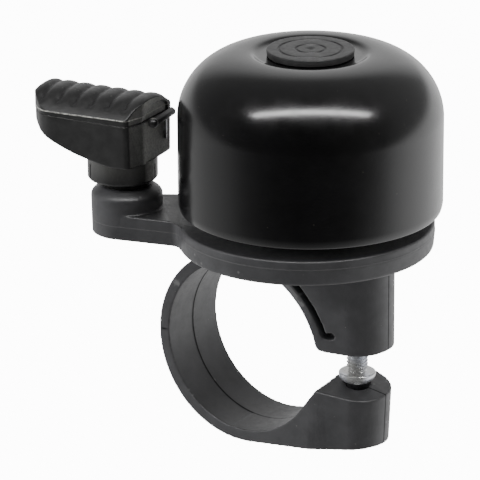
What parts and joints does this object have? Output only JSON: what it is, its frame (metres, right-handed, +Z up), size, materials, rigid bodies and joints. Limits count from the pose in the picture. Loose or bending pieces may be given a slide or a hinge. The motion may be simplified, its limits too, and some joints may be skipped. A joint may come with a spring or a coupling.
{
  "type": "bicycle bell",
  "caption": "Small black dome bell with a ribbed thumb lever on a side arm and an open strap clamp closed by a slotted screw.",
  "frame": {"origin": "centre of the handlebar bore, on the band's mid plane", "axes": "+Z up along the dome's axis, +Y along the handlebar and away from the camera side, +X towards the clamp screw"},
  "size_m": [0.0531, 0.035, 0.0551],
  "materials": {
    "moulding": "satin moulded nylon with parting lines",
    "lever": "grained, semi-gloss",
    "cap": "satin with turned rings",
    "dome_paint": "high-gloss black over pressed steel",
    "zinc": "bright zinc plate",
    "spring_steel": "bright drawn",
    "brass": "turned"
  },
  "bodies": {
    "bell_base": {"base_body": "moulding", "clamp_nut": "zinc", "dome": "dome_paint", "dome_cap": "cap", "dome_screw": "zinc", "dome_washer": "zinc", "pillar_insert": "brass", "pivot_pin": "zinc", "pin_washer": "lever", "pin_retainer": "spring_steel", "return_spring": "spring_steel"},
    "clamp_strap": {"clamp_strap": "moulding"},
    "clamp_screw": {"clamp_screw": "zinc"},
    "lever": {"lever_housing": "lever", "lever_grip": "lever", "lever_hub": "lever"},
    "hammer": {"hammer_bar": "lever", "hammer_ball": "lever", "hammer_leaf": "spring_steel"}
  },
  "joints": [
    {"name": "clamp_screw_travel", "type": "slide", "parent": "bell_base", "child": "clamp_screw", "axis": [0, 0, 1], "range_m": [0, 0.0033]},
    {"name": "clamp_close", "type": "hinge", "parent": "bell_base", "child": "clamp_strap", "pos_m": [-0.01241, 0, -0.00219], "axis": [0, -1, 0], "range_deg": [0, 7]},
    {"name": "lever_swing", "type": "hinge", "parent": "bell_base", "child": "lever", "pos_m": [-0.01512, -0.01007, 0.0253], "axis": [0, 0, 1], "range_deg": [-35, 35], "stiffness_Nm_per_rad": 0.02, "deforming": ["return_spring"]},
    {"name": "hammer_flex", "type": "hinge", "parent": "lever", "child": "hammer", "pos_m": [-0.0114, -0.00628, 0.03135], "axis": [0, 0, 1], "range_deg": [0, 12], "stiffness_Nm_per_rad": 0.004}
  ],
  "couplings": [
    {"joint": "clamp_close", "follows": "clamp_screw_travel", "rad_per_m": 37}
  ]
}
